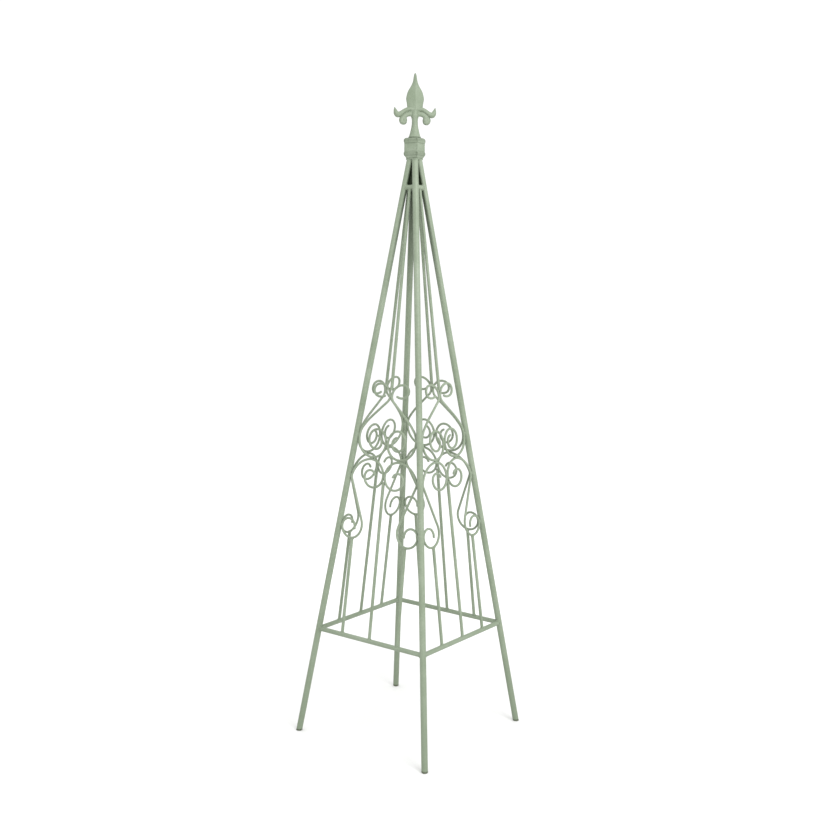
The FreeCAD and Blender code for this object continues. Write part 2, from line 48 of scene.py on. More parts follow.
BASE_HALF = 207.2
TOP_HALF = 8.2
LEG_TOP = 1487
LEG_RADIUS = 8
RAIL_HEIGHT = 276
RAIL_RADIUS = 6
BRACE_HEIGHT = 1418
BRACE_RADIUS = 6
ROD_RADIUS = 4
WIRE_RADIUS = 3
LONG_ROD_FOOT = 917
MIDDLE_ROD_TOP = 684
SIDE_ROD_TOP = 531.5
SIDE_ROD_TOP_OFFSET = 86
SIDE_ROD_FOOT_OFFSET = 90
SCROLL_MEETING = 740.5
CORNER_LIFT = 6
RAISED_SIDE_ROD_TOP = 548
COLLAR_FOOT = 1490
COLLAR_TOP = 1540.5
COLLAR_TURN = 5.5
FINIAL_TURN = 45
PLUG_HEAD = 5
PLUG_TOP = 20
BORE_RADIUS = 6.5

# The scroll wires' bending schedules, as in the design: (radius, degrees) for a bend,
# positive to the left, and (0, length) for a straight run.
SCROLLS = {
    "upper": {
        "start": (17.5, 903),
        "heading": -30,
        "bends": [(31, 55), (15.5, 137), (32, 93), (21, 64), (0, 56.5),
                  (-215, 11), (-47.5, 145), (-37.5, 120), (-25.5, 207), (-17.5, 185)],
    },
    "lower": {
        "start": (28, 697),
        "heading": 74,
        "bends": [(-17.5, 164), (-24.5, 58), (-31.5, 137), (-42.5, 83), (-66.5, 62),
                  (-17, 43), (0, 111), (36.5, 75), (32, 106), (21, 217)],
    },
    "lower_raised": {
        "start": (28, 697),
        "heading": 74,
        "bends": [(-17.5, 164), (-24.5, 58), (-31.5, 137), (-42.5, 83), (-66.5, 62),
                  (-17, 46.5), (0, 99), (36.5, 78.5), (32, 106), (21, 217)],
    },
}
SCROLL_PAIR = ["upper", "lower"]

FACES = ["front", "right", "back", "left"]
SIDES = {"right": 1, "left": -1}
CORNERS = {"front_left": (-1, -1), "front_right": (1, -1), "back_right": (1, 1), "back_left": (-1, 1)}
FACE_CORNERS = {
    "front": ("front_left", "front_right"),
    "right": ("front_right", "back_right"),
    "back": ("back_right", "back_left"),
    "left": ("back_left", "front_left"),
}

LEAN = (BASE_HALF - TOP_HALF) / LEG_TOP
RAISED_HALVES = [("back", "right"), ("left", "left")]


def up_the_face(height):
    return height * math.hypot(1, LEAN)


def lift(face, side):
    """How much higher this half's scrolls sit."""
    return CORNER_LIFT if (face, side) in RAISED_HALVES else 0


def middle_lift(face):
    """How much higher the rod ends on the face's middle line sit, between its two halves."""
    return (lift(face, "right") + lift(face, "left")) / 2


def face_matrix(face):
    """Local X runs along the face, local Y up its slope from the ground, local Z outwards."""
    turned = Matrix.Rotation(math.radians(90 * FACES.index(face)), 4, "Z")
    shifted = Matrix.Translation(Vector((0, -BASE_HALF, 0)))
    tilted = Matrix.Rotation(math.radians(90) - math.atan(LEAN), 4, "X")
    return turned @ shifted @ tilted


def leg_point(corner, height):
    across, along = CORNERS[corner]
    spread = BASE_HALF - LEAN * height
    return Vector((across * spread, along * spread, height))


# ---------------------------------------------------------------- materials

class Nodes:
    """A node tree being filled in, with short ways to add and join nodes."""

    def __init__(self, name):
        self.material = bpy.data.materials.new(name)
        self.material.use_nodes = True
        self.tree = self.material.node_tree
        self.tree.nodes.clear()
        self.output = self.tree.nodes.new("ShaderNodeOutputMaterial")
        self.shader = self.tree.nodes.new("ShaderNodeBsdfPrincipled")
        self.join(self.shader.outputs["BSDF"], self.output.inputs["Surface"])
        self.place = self.tree.nodes.new("ShaderNodeTexCoord").outputs["Object"]

    def join(self, source, target):
        self.tree.links.new(source, target)

    def noise(self, features_mm, detail=3.0, stretch=None):
        """Noise whose features are about this many millimetres across."""
        node = self.tree.nodes.new("ShaderNodeTexNoise")
        node.inputs["Scale"].default_value = 1 / (features_mm * MM)
        node.inputs["Detail"].default_value = detail
        place = self.place
        if stretch:
            mapping = self.tree.nodes.new("ShaderNodeMapping")
            mapping.inputs["Scale"].default_value = stretch
            self.join(place, mapping.inputs["Vector"])
            place = mapping.outputs["Vector"]
        self.join(place, node.inputs["Vector"])
        return node.outputs["Fac"]

    def spots(self, spacing_mm):
        """Distance to the nearest of scattered points, for pits and specks."""
        node = self.tree.nodes.new("ShaderNodeTexVoronoi")
        node.inputs["Scale"].default_value = 1 / (spacing_mm * MM)
        self.join(self.place, node.inputs["Vector"])
        return node.outputs["Distance"]

    def ramp(self, source, stops):
        """Colours or grey values along a factor: stops are (place, colour)."""
        node = self.tree.nodes.new("ShaderNodeValToRGB")
        elements = node.color_ramp.elements
        while len(elements) < len(stops):
            elements.new(0.5)
        for element, (place, colour) in zip(elements, stops):
            element.position = place
            element.color = (*colour, 1)
        self.join(source, node.inputs["Fac"])
        return node.outputs["Color"]

    def span(self, source, low, high, from_low=0.0, from_high=1.0):
        """Stretches one range of values onto another, and holds its ends."""
        node = self.tree.nodes.new("ShaderNodeMapRange")
        node.inputs["From Min"].default_value = from_low
        node.inputs["From Max"].default_value = from_high
        node.inputs["To Min"].default_value = low
        node.inputs["To Max"].default_value = high
        self.join(source, node.inputs["Value"])
        return node.outputs["Result"]

    def mix(self, first, second, factor):
        """Colour mix; a socket or a colour for each, a socket or a number as the factor."""
        node = self.tree.nodes.new("ShaderNodeMix")
        node.data_type = "RGBA"
        sockets = {s.identifier: s for s in node.inputs}
        for key, value in (("Factor_Float", factor), ("A_Color", first), ("B_Color", second)):
            socket = sockets[key]
            if isinstance(value, bpy.types.NodeSocket):
                self.join(value, socket)
            elif isinstance(value, tuple):
                socket.default_value = (*value, 1)
            else:
                socket.default_value = value
        return next(s for s in node.outputs if s.identifier == "Result_Color")

    def bump(self, height, distance_mm, strength, under=None):
        node = self.tree.nodes.new("ShaderNodeBump")
        node.inputs["Distance"].default_value = distance_mm * MM
        node.inputs["Strength"].default_value = strength
        self.join(height, node.inputs["Height"])
        if under:
            self.join(under, node.inputs["Normal"])
        return node.outputs["Normal"]

    def vector(self, operation, first, second=None):
        node = self.tree.nodes.new("ShaderNodeVectorMath")
        node.operation = operation
        self.join(first, node.inputs[0])
        if isinstance(second, tuple):
            node.inputs[1].default_value = second
        elif second:
            self.join(second, node.inputs[1])
        return node

    def inner_side(self):
        """One on surfaces that face the obelisk's axis, fading to nothing on the outer side."""
        level = self.vector("MULTIPLY", self.place, (1.0, 1.0, 0.0)).outputs["Vector"]
        outward = self.vector("NORMALIZE", level).outputs["Vector"]
        normal = self.tree.nodes.new("ShaderNodeNewGeometry").outputs["Normal"]
        facing = self.vector("DOT_PRODUCT", outward, normal).outputs["Value"]
        return self.span(facing, 1.0, 0.0, -0.35, 0.25)

    def rise(self, nothing, full, most=1.0):
        """Nothing at one height in millimetres and before it, growing to the most at another."""
        node = self.tree.nodes.new("ShaderNodeSeparateXYZ")
        self.join(self.place, node.inputs["Vector"])
        return self.span(node.outputs["Z"], 0.0, most, nothing * MM, full * MM)

    def pointiness(self):
        """Above a half on edges, below it in creases."""
        return self.tree.nodes.new("ShaderNodeNewGeometry").outputs["Pointiness"]

    def product(self, first, second):
        node = self.tree.nodes.new("ShaderNodeMath")
        node.operation = "MULTIPLY"
        self.join(first, node.inputs[0])
        self.join(second, node.inputs[1])
        return node.outputs["Value"]


SAGE_DARK = (0.171, 0.216, 0.145)
SAGE = (0.212, 0.260, 0.184)
SAGE_PALE = (0.264, 0.313, 0.234)
# Dark specks in the paint, and painted shade in the castings' creases and moulding lines.
SAGE_SPECK_AND_SHADE = (0.070, 0.094, 0.056)
# Near-black painted shade for the legs' inner sides near the top.
SAGE_PAINTED_SHADE = (0.030, 0.044, 0.023)
SAGE_THIN = (0.098, 0.126, 0.080)

# Where the paint changes with height: (nothing at, full at), in millimetres.
# Heights over which the painted shade on the legs' inner sides grows.
INNER_SHADE_HEIGHTS = (1120, 1420)
# Darker towards the ground, fully so at the ground.
LOW_DARKENING = (350, 0)
LOW_DARKENING_STRENGTH = 0.70
# Painted shade: the castings darken towards the top of the finial.
TOP_SHADE_HEIGHTS = (1570, 1640)
TOP_SHADE_STRENGTH = 0.55
SPECK_STRENGTH = 0.45
# How dark the painted shade in the castings' creases gets.
CREASE_SHADE_STRENGTH = 0.88

# Painted shadow lines along the castings' mouldings and under the finial's foot: (millimetres above the
# collar's foot, how strong).
SHADOW_LINES = [(7.4, 0.50), (16.8, 0.30), (37.2, 0.50), (51.1, 1.0)]
SHADOW_LINE_REACH = 1.6
SHADOW_LINE_TOP = 60


def sage_paint(name, inner_shade):
    """Satin sage paint on drawn tube and wire: clouds, specks and orange peel, dull near the ground.

    If the flag is set, surfaces facing the axis darken to near black towards the narrow top:
    painted shade where the legs and rods shade each other.
    """
    made = Nodes(name)
    clouds = made.ramp(made.noise(70, 4), [(0.30, SAGE_DARK), (0.50, SAGE), (0.72, SAGE_PALE)])
    mottle = made.ramp(made.noise(5, 5), [(0.35, SAGE_DARK), (0.55, SAGE), (0.70, SAGE_PALE)])
    colour = made.mix(clouds, mottle, 0.35)
    specks = made.span(made.spots(2.6), SPECK_STRENGTH, 0.0, 0.02, 0.10)
    colour = made.mix(colour, SAGE_SPECK_AND_SHADE, specks)
    if inner_shade:
        # Painted shade: inner sides darken towards the narrow top.
        inner_shade_mask = made.product(made.inner_side(), made.rise(*INNER_SHADE_HEIGHTS))
        colour = made.mix(colour, SAGE_PAINTED_SHADE, inner_shade_mask)
    # Darker towards the ground.
    colour = made.mix(colour, SAGE_DARK, made.rise(*LOW_DARKENING, LOW_DARKENING_STRENGTH))
    made.join(colour, made.shader.inputs["Base Color"])
    rough = made.span(made.noise(11, 5), 0.38, 0.56, 0.30, 0.70)
    made.join(rough, made.shader.inputs["Roughness"])
    peel = made.bump(made.noise(1.6, 2), 0.10, 0.35)
    drips = made.bump(made.noise(14, 2), 0.35, 0.30, peel)
    made.join(drips, made.shader.inputs["Normal"])
    return made.material


def sage_casting():
    """The same paint over sand-cast iron: grain, painted shade in the creases, along the mouldings and
    towards the top, and edges rubbed thin.
    """
    made = Nodes("sage_paint_casting")
    clouds = made.ramp(made.noise(28, 5), [(0.30, SAGE_DARK), (0.50, SAGE), (0.70, SAGE_PALE)])
    mottle = made.ramp(made.noise(2.8, 5), [(0.35, SAGE_DARK), (0.55, SAGE), (0.70, SAGE_PALE)])
    colour = made.mix(clouds, mottle, 0.40)
    shape = made.pointiness()
    # Painted shade: darker in the casting's creases.
    colour = made.mix(colour, SAGE_SPECK_AND_SHADE, made.span(shape, CREASE_SHADE_STRENGTH, 0.0, 0.45, 0.497))
    rubbed = made.span(shape, 0.0, 1.0, 0.503, 0.525)
    patches = made.span(made.noise(4, 4), 0.35, 1.0, 0.35, 0.60)
    colour = made.mix(colour, SAGE_THIN, made.product(rubbed, patches))
    # Painted shade: darker towards the top of the finial.
    colour = made.mix(colour, SAGE_DARK, made.rise(*TOP_SHADE_HEIGHTS, TOP_SHADE_STRENGTH))
    # Painted shadow lines: dark bands at the listed heights on the castings.
    height = made.rise(COLLAR_FOOT, COLLAR_FOOT + SHADOW_LINE_TOP)
    stops = []
    for line, strength in SHADOW_LINES:
        stops += [((line - SHADOW_LINE_REACH) / SHADOW_LINE_TOP, (0.0, 0.0, 0.0)),
                  (line / SHADOW_LINE_TOP, (strength, strength, strength)),
                  ((line + SHADOW_LINE_REACH) / SHADOW_LINE_TOP, (0.0, 0.0, 0.0))]
    colour = made.mix(colour, SAGE_SPECK_AND_SHADE, made.ramp(height, stops))
    made.join(colour, made.shader.inputs["Base Color"])
    rough = made.span(made.noise(7, 5), 0.44, 0.64, 0.30, 0.70)
    made.join(rough, made.shader.inputs["Roughness"])
    grain = made.bump(made.noise(0.8, 4), 0.12, 0.40)
    waves = made.bump(made.noise(6, 3), 0.45, 0.35, grain)
    made.join(waves, made.shader.inputs["Normal"])
    return made.material


PLASTIC_DARK = (0.075, 0.090, 0.055)
PLASTIC_GREEN = (0.105, 0.125, 0.080)
PLASTIC_PALE = (0.190, 0.205, 0.150)


def plug_plastic():
    """Dark moulded plastic with a matt, slightly scuffed skin."""
    made = Nodes("plug_plastic")
    scuffs = made.ramp(made.noise(3, 5), [(0.35, PLASTIC_DARK), (0.60, PLASTIC_GREEN), (0.75, PLASTIC_PALE)])
    made.join(scuffs, made.shader.inputs["Base Color"])
    made.join(made.span(made.noise(2, 4), 0.50, 0.75), made.shader.inputs["Roughness"])
    made.join(made.bump(made.noise(0.5, 3), 0.05, 0.35), made.shader.inputs["Normal"])
    return made.material


# Near-black colours of the core between the leg tops, a painted shade for the deep shade there.
CORE_SHADE_DARK = (0.012, 0.018, 0.009)
CORE_SHADE_GREEN = (0.022, 0.034, 0.017)
CORE_SHADE_PALE = (0.046, 0.062, 0.036)


def core_primer():
    """Dull near-black green, streaky up and down: painted shade for the deep shade between the leg tops."""
    made = Nodes("core_primer")
    streaks = made.ramp(made.noise(3, 5, stretch=(1, 1, 0.3)),
                        [(0.30, CORE_SHADE_DARK), (0.60, CORE_SHADE_GREEN), (0.80, CORE_SHADE_PALE)])
    made.join(streaks, made.shader.inputs["Base Color"])
    made.join(made.span(made.noise(5, 4), 0.60, 0.85), made.shader.inputs["Roughness"])
    made.shader.inputs["Specular IOR Level"].default_value = 0.25
    made.join(made.bump(made.noise(0.9, 3), 0.10, 0.4), made.shader.inputs["Normal"])
    return made.material


STEEL_DARK = (0.36, 0.36, 0.35)
STEEL_PALE = (0.55, 0.55, 0.53)


def stud_steel():
    """Zinc plated steel with fine lines round it."""
    made = Nodes("stud_steel")
    lines = made.noise(1.2, 4, stretch=(1, 1, 14))
    made.join(made.ramp(lines, [(0.30, STEEL_DARK), (0.70, STEEL_PALE)]), made.shader.inputs["Base Color"])
    made.shader.inputs["Metallic"].default_value = 1.0
    made.join(made.span(lines, 0.28, 0.45), made.shader.inputs["Roughness"])
    made.join(made.bump(lines, 0.03, 0.5), made.shader.inputs["Normal"])
    return made.material


PAPER = (0.945, 0.945, 0.94)
PAPER_PALE = (0.965, 0.965, 0.96)
# Painted shade on the floor around the feet, and the distances in metres over which it fades out.
PAPER_SHADE = (0.76, 0.76, 0.755)
SHADE_WITHIN = 0.45
SHADE_ENDS = 1.5


def floor_paper():
    """Pale studio paper with a barely visible tooth, and a painted shade around the feet: greyer near them,
    so it also throws less light back up at the legs.
    """
    made = Nodes("floor_paper")
    tone = made.ramp(made.noise(600, 3), [(0.3, PAPER), (0.7, PAPER_PALE)])
    distance = made.vector("LENGTH", made.place).outputs["Value"]
    # Painted shade: greyer near the feet.
    tone = made.mix(tone, PAPER_SHADE, made.span(distance, 1.0, 0.0, SHADE_WITHIN, SHADE_ENDS))
    made.join(tone, made.shader.inputs["Base Color"])
    made.shader.inputs["Roughness"].default_value = 0.9
    made.join(made.bump(made.noise(3, 3), 0.05, 0.2), made.shader.inputs["Normal"])
    return made.material


PAINT = sage_paint("sage_paint", inner_shade=False)
# Leg paint, with painted shade on the inner sides near the top.
LEG_PAINT = sage_paint("sage_leg_paint", inner_shade=True)
CASTING = sage_casting()
PLASTIC = plug_plastic()
STEEL = stud_steel()
# Near-black painted shade for the core between the leg tops.
CORE_SHADE = core_primer()


# ---------------------------------------------------------------- mesh helpers

def add_skin(shape, rings, closed=False):
    """Skins rings of points in millimetres, each with as many points, and closes both ends."""
    rows = [[shape.verts.new(point * MM) for point in ring] for ring in rings]
    joins = list(zip(rows, rows[1:]))
    if closed:
        joins.append((rows[-1], rows[0]))
    faces = []
    for low, high in joins:
        for index in range(len(low)):
            after = (index + 1) % len(low)
            faces.append(shape.faces.new((low[index], low[after], high[after], high[index])))
    if not closed:
        faces.append(shape.faces.new(list(reversed(rows[0]))))
        faces.append(shape.faces.new(rows[-1]))
    bmesh.ops.recalc_face_normals(shape, faces=faces)


def piece_from(name, rings, material):
    shape = bmesh.new()
    add_skin(shape, rings)
    return finish_mesh(name, shape, material)


def finish_mesh(name, shape, material):
    mesh = bpy.data.meshes.new(name)
    shape.to_mesh(mesh)
    shape.free()
    mesh.materials.append(material)
    mesh.polygons.foreach_set("use_smooth", [True] * len(mesh.polygons))
    thing = bpy.data.objects.new(name, mesh)
    bpy.context.scene.collection.objects.link(thing)
    return thing


def cross_frames(points, closed=False):
    """Two unit vectors across a path at each of its points, turning as little as possible."""
    count = len(points)
    tangents = []
    for index in range(count):
        if closed:
            step = points[(index + 1) % count] - points[index - 1]
        else:
            step = points[min(index + 1, count - 1)] - points[max(index - 1, 0)]
        tangents.append(step.normalized())
    first = tangents[0].orthogonal().normalized()
    frames = []
    for tangent in tangents:
        first = (first - tangent * first.dot(tangent)).normalized()
        frames.append((first, tangent.cross(first)))
    return frames


def circle(centre, first, second, radius, count):
    ring = []
    for index in range(count):
        angle = 2 * math.pi * index / count
        ring.append(centre + (first * math.cos(angle) + second * math.sin(angle)) * radius)
    return ring


# ---------------------------------------------------------------- scroll wires

WIRE_SIDES = 18
BEND_STEP = math.radians(4)
RUN_STEP = 6
# Rounded wire ends: (distance from the end, share of the radius).
END_ROUNDING = [(0.0, 0.25), (0.35, 0.62), (0.8, 0.85), (1.5, 0.97)]
ROUNDED_LENGTH = 1.8
# The paint's uneven thickness: how much, and how quickly it changes per millimetre.
PAINT_WAVES = 0.06
PAINT_WAVE_RATE = 0.06


def bend_points(schedule):
    """Centre line of a bending schedule, in the plane of its face."""
    across, up = schedule["start"]
    point = Vector((across, up, 0))
    heading = math.radians(schedule["heading"])
    points = [point]
    for radius, amount in schedule["bends"]:
        if not radius:
            run = Vector((math.cos(heading), math.sin(heading), 0)) * amount
            steps = max(2, round(amount / RUN_STEP))
            points += [point + run * (step / steps) for step in range(1, steps + 1)]
            point = point + run
            continue
        turn = math.copysign(math.radians(amount), radius)
        centre = point + Vector((-math.sin(heading), math.cos(heading), 0)) * radius
        steps = max(2, math.ceil(abs(turn) / BEND_STEP))
        arm = point - centre
        for step in range(1, steps + 1):
            points.append(centre + Matrix.Rotation(turn * step / steps, 3, "Z") @ arm)
        heading += turn
        point = points[-1]
    return points


def wire_rings(points):
    """Rings along a path, the first and last few drawn in to round the ends."""
    frames = cross_frames(points)
    rings = []
    start_step = (points[1] - points[0]).normalized()
    for along, share in END_ROUNDING:
        rings.append(circle(points[0] + start_step * along, *frames[0], WIRE_RADIUS * share, WIRE_SIDES))
    for point, (first, second) in zip(points, frames):
        if min((point - points[0]).length, (point - points[-1]).length) < ROUNDED_LENGTH:
            continue
        radius = WIRE_RADIUS + PAINT_WAVES * noise.noise(point * PAINT_WAVE_RATE)
        rings.append(circle(point, first, second, radius, WIRE_SIDES))
    end_step = (points[-1] - points[-2]).normalized()
    for along, share in reversed(END_ROUNDING):
        rings.append(circle(points[-1] - end_step * along, *frames[-1], WIRE_RADIUS * share, WIRE_SIDES))
    return rings


def wire_points(scroll, face, side):
    """Centre line of one wire on its face, in the face's own plane."""
    raised = (face, side) in RAISED_HALVES
    points = bend_points(SCROLLS["lower_raised" if raised and scroll == "lower" else scroll])
    return [Vector((SIDES[side] * point.x, point.y + lift(face, side), 0)) for point in points]


def make_scrolls():
    for face in FACES:
        for side in SIDES:
            for scroll in SCROLL_PAIR:
                points = [face_matrix(face) @ point for point in wire_points(scroll, face, side)]
                label = "%s_scroll_%s_%s" % (scroll, face, side)
                wire = piece_from("wire_" + label, wire_rings(points), PAINT)
                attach(wire, "root")
                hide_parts(label)


# ---------------------------------------------------------------- foot plugs

# (height above the ground, radius) of a plug, its spigot inside the tube included.
PLUG_PROFILE = [(0.0, 5.5), (0.0, 6.7), (0.25, 7.3), (0.7, 7.75), (1.3, 7.95), (4.1, 7.95), (4.5, 7.75),
                (4.7, 7.3), (PLUG_HEAD, 7.0), (PLUG_HEAD, BORE_RADIUS), (PLUG_TOP, BORE_RADIUS)]
PLUG_SIDES = 48


def make_foot_plugs():
    """Moulded plugs that lean with their legs and end level on the ground."""
    for corner, (across, along) in CORNERS.items():
        outward = Vector((across, along, 0)).normalized()
        sideways = Vector((-outward.y, outward.x, 0))
        stretch = math.hypot(1, LEAN * math.sqrt(2))
        rings = [circle(leg_point(corner, height), outward * stretch, sideways, radius, PLUG_SIDES)
                 for height, radius in PLUG_PROFILE]
        plug = piece_from("plug_" + corner, rings, PLASTIC)
        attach(plug, "root")
        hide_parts("foot_plug_" + corner)


# ---------------------------------------------------------------- collar

# (height above the collar's foot, half side, corner radius), from the foot to the rim.
COLLAR_PROFILE = [
    (0.0, 11.0, 0.8), (0.0, 15.0, 1.2), (0.3, 15.5, 1.4), (1.5, 16.0, 1.4), (3.0, 16.8, 1.4),
    (5.0, 18.0, 1.4), (6.6, 19.0, 1.5), (7.8, 19.6, 1.6), (8.8, 19.9, 1.6), (9.6, 20.25, 1.7),
    (11.0, 20.4, 1.8), (13.0, 20.4, 1.8), (14.4, 20.15, 1.7), (15.4, 19.7, 1.5), (16.1, 19.3, 1.2),
    (17.0, 19.15, 1.1), (19.0, 19.1, 1.1),
    (23.0, 19.05, 1.1), (27.0, 19.05, 1.1), (31.0, 19.05, 1.1), (35.0, 19.1, 1.1), (37.0, 19.2, 1.1),
    (38.2, 19.45, 1.3), (39.0, 19.8, 1.5), (40.2, 20.05, 1.7), (41.4, 20.35, 1.8), (43.0, 20.5, 1.9),
    (44.8, 20.5, 1.9), (46.2, 20.25, 1.9), (47.4, 19.75, 1.9), (48.5, 19.0, 1.9), (49.4, 18.2, 1.8),
    (50.1, 17.4, 1.7), (50.5, 16.6, 1.6), (50.5, 13.0, 1.2), (50.5, 8.0, 0.8),
]
CORNER_STEPS = 5
SIDE_STEPS = 12
# The casting's uneven surface: how much, and how quickly it changes per millimetre.
CASTING_WAVES = 0.12
CASTING_WAVE_RATE = 0.16


def rounded_square(height, half, radius):
    """A level square ring with rounded corners and evenly spaced points along its sides."""
    ring = []
    inset = half - radius
    for quarter in range(4):
        turn = Matrix.Rotation(math.pi / 2 * quarter, 3, "Z")
        for step in range(1, SIDE_STEPS):
            ring.append(turn @ Vector((half, inset * (2 * step / SIDE_STEPS - 1), height)))
        for step in range(CORNER_STEPS + 1):
            angle = math.pi / 2 * step / CORNER_STEPS
            ring.append(turn @ Vector((inset + radius * math.cos(angle),
                                       inset + radius * math.sin(angle), height)))
    return ring


def turned_up(height, degrees):
    """The frame of a casting that stands at a height, turned about the obelisk's axis."""
    return Matrix.Translation(Vector((0, 0, height))) @ Matrix.Rotation(math.radians(degrees), 4, "Z")


def make_collar():
    place = turned_up(COLLAR_FOOT, COLLAR_TURN)
    rings = []
    for height, half, radius in COLLAR_PROFILE:
        ring = []
        for point in rounded_square(height, half, radius):
            away = Vector((point.x, point.y, 0)).normalized()
            ring.append(place @ (point + away * CASTING_WAVES * noise.noise(point * CASTING_WAVE_RATE)))
        rings.append(ring)
    collar = piece_from("collar_casting", rings, CASTING)
    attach(collar, "root")
    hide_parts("collar")


# ---------------------------------------------------------------- finial

# Stations are measured from the finial's foot, on the right half of its middle plane.
# The stem: (height, radius).
STEM_STATIONS = [
    (0.0, 12.0), (0.0, 15.3), (0.35, 15.8), (1.0, 16.0), (2.2, 16.0), (3.0, 15.6), (3.7, 14.9),
    (5.0, 14.3), (6.7, 13.7), (9.0, 13.0), (11.7, 12.25), (16.6, 11.1), (21.5, 9.8), (26.0, 8.95),
    (31.0, 8.1), (36.0, 7.6), (42.0, 7.5), (46.0, 7.8), (48.5, 8.4), (51.0, 9.2), (55.0, 9.6),
    (60.0, 9.2), (66.0, 7.0), (68.0, 4.0),
]
# Arms and hooks: (across, up, half width in the plane, half thickness).
ARM_STATIONS = [
    (-3.0, 70.5, 6.2, 6.6), (4.0, 70.9, 5.8, 6.6), (11.0, 71.3, 5.2, 6.5), (18.0, 70.6, 5.1, 6.4),
    (25.0, 67.5, 5.2, 6.4), (31.5, 63.3, 5.4, 6.5), (37.0, 59.3, 6.2, 6.6), (43.0, 57.2, 7.4, 6.6),
    (47.2, 60.4, 6.6, 6.0), (49.2, 65.5, 4.9, 4.8), (50.4, 70.0, 3.1, 3.4), (51.0, 73.2, 1.7, 1.9),
    (51.4, 75.6, 0.4, 0.6),
]
HOOK_STATIONS = [
    (-3.0, 59.0, 7.2, 5.2), (8.0, 59.5, 6.6, 4.9), (16.0, 59.3, 6.4, 4.8), (23.0, 56.3, 6.3, 4.8),
    (28.8, 51.0, 6.4, 4.8), (32.4, 45.0, 7.6, 4.9), (31.6, 39.6, 6.7, 5.0), (27.4, 38.2, 5.8, 5.0),
    (24.2, 38.8, 4.4, 4.4), (22.0, 40.2, 2.6, 3.0), (20.8, 41.2, 0.8, 1.0),
]
# The petal: (height, half width, half thickness at the ridge).
PETAL_STATIONS = [
    (58.0, 10.0, 5.0), (62.0, 14.5, 6.2), (68.0, 17.6, 7.0), (76.0, 19.7, 7.8), (86.0, 21.2, 8.3),
    (95.0, 22.7, 8.7), (104.0, 21.5, 8.5), (115.0, 17.9, 7.6), (127.0, 10.9, 5.9), (138.0, 6.2, 4.6),
    (150.0, 4.1, 3.6), (156.5, 2.6, 2.4), (159.5, 0.7, 0.7),
]
# The button on each hook's curl: centre (across, up) and radii (across, front to back, up).
BOSS_CENTRE = (26.4, 43.6)
BOSS_RADII = (6.9, 5.6, 9.3)
BOSS_LEVELS = 16
STEM_SIDES = 64
SECTION_POINTS = 40
SUB_STEPS = 5
# How round a petal's ridge is, from a knife edge at 0 to an oval at 1.
RIDGE_ROUNDNESS = 0.35
# Below 1, an arm's oval section is squarer than an ellipse.
LIMB_POWER = 0.85
VOXEL_MM = 0.55
SMOOTHING_ROUNDS = 6


def smooth_stations(stations):
    """Catmull-Rom through a table of stations, a few steps between each pair."""
    rows = [Vector(row) for row in stations]
    finer = []
    for index in range(len(rows) - 1):
        before = rows[max(index - 1, 0)]
        here, there = rows[index], rows[index + 1]
        after = rows[min(index + 2, len(rows) - 1)]
        for step in range(SUB_STEPS):
            t = step / SUB_STEPS
            finer.append(0.5 * (2 * here + (there - before) * t
                                + (2 * before - 5 * here + 4 * there - after) * t ** 2
                                + (3 * here - before - 3 * there + after) * t ** 3))
    finer.append(rows[-1])
    return finer


def petal_section(height, width, ridge):
    """A lens with a soft ridge in front and behind."""
    ring = []
    for index in range(SECTION_POINTS):
        angle = 2 * math.pi * index / SECTION_POINTS
        share = abs(math.cos(angle))
        swell = RIDGE_ROUNDNESS * math.sqrt(1 - share ** 2) + (1 - RIDGE_ROUNDNESS) * (1 - share)
        depth = math.copysign(ridge * swell, math.sin(angle))
        ring.append(Vector((width * math.cos(angle), depth, height)))
    return ring


def limb_rings(stations, sign):
    """Rings of a limb swept in the finial's middle plane, with flattened oval sections."""
    rows = smooth_stations(stations)
    rings = []
    for index, (across, up, width, thickness) in enumerate(rows):
        ahead = rows[min(index + 1, len(rows) - 1)]
        behind = rows[max(index - 1, 0)]
        step = Vector((ahead[0] - behind[0], 0, ahead[1] - behind[1])).normalized()
        sideways = Vector((-step.z, 0, step.x))
        ring = []
        for number in range(SECTION_POINTS):
            angle = 2 * math.pi * number / SECTION_POINTS
            flat = math.copysign(abs(math.cos(angle)) ** LIMB_POWER, math.cos(angle))
            deep = math.copysign(abs(math.sin(angle)) ** LIMB_POWER, math.sin(angle))
            point = Vector((across, 0, up)) + sideways * (width * flat)
            ring.append(Vector((sign * point.x, thickness * deep, point.z)))
        rings.append(ring)
    return rings


def boss_rings(sign):
    """A small button on each hook's curl."""
    centre_across, centre_up = BOSS_CENTRE
    wide, deep, tall = BOSS_RADII
    rings = []
    for level in range(1, BOSS_LEVELS):
        polar = math.pi * level / BOSS_LEVELS
        ring = []
        for number in range(SECTION_POINTS):
            angle = 2 * math.pi * number / SECTION_POINTS
            ring.append(Vector((sign * (centre_across + wide * math.sin(polar) * math.cos(angle)),
                                -deep * math.cos(polar),
                                centre_up + tall * math.sin(polar) * math.sin(angle))))
        rings.append(ring)
    return rings


